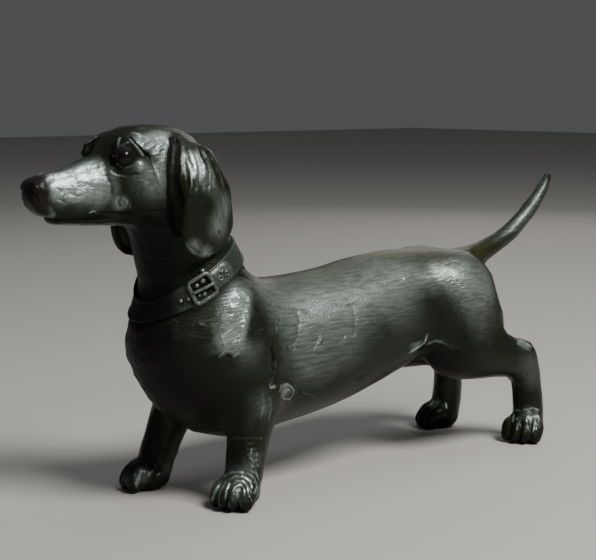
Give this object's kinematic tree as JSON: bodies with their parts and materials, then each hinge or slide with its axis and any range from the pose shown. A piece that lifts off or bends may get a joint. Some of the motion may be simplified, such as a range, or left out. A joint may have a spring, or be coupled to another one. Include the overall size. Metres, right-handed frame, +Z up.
{
  "type": "resin dachshund statue",
  "caption": "Standing smooth-haired dachshund with a raised tail, long drop ears and a buckled collar, cast in one piece on its own paws.",
  "frame": {"origin": "on the ground, under the middle of the figure's box", "axes": "-X towards the nose, +X towards the tail, -Y the dog's left side, +Z up"},
  "size_m": [0.289, 0.0688, 0.1493],
  "materials": {
    "cast_resin": "dark bronze-green patina on cast resin, satin, rubbed paler on the raised carving"
  },
  "bodies": {
    "root": {"dachshund": "cast_resin"}
  },
  "joints": []
}
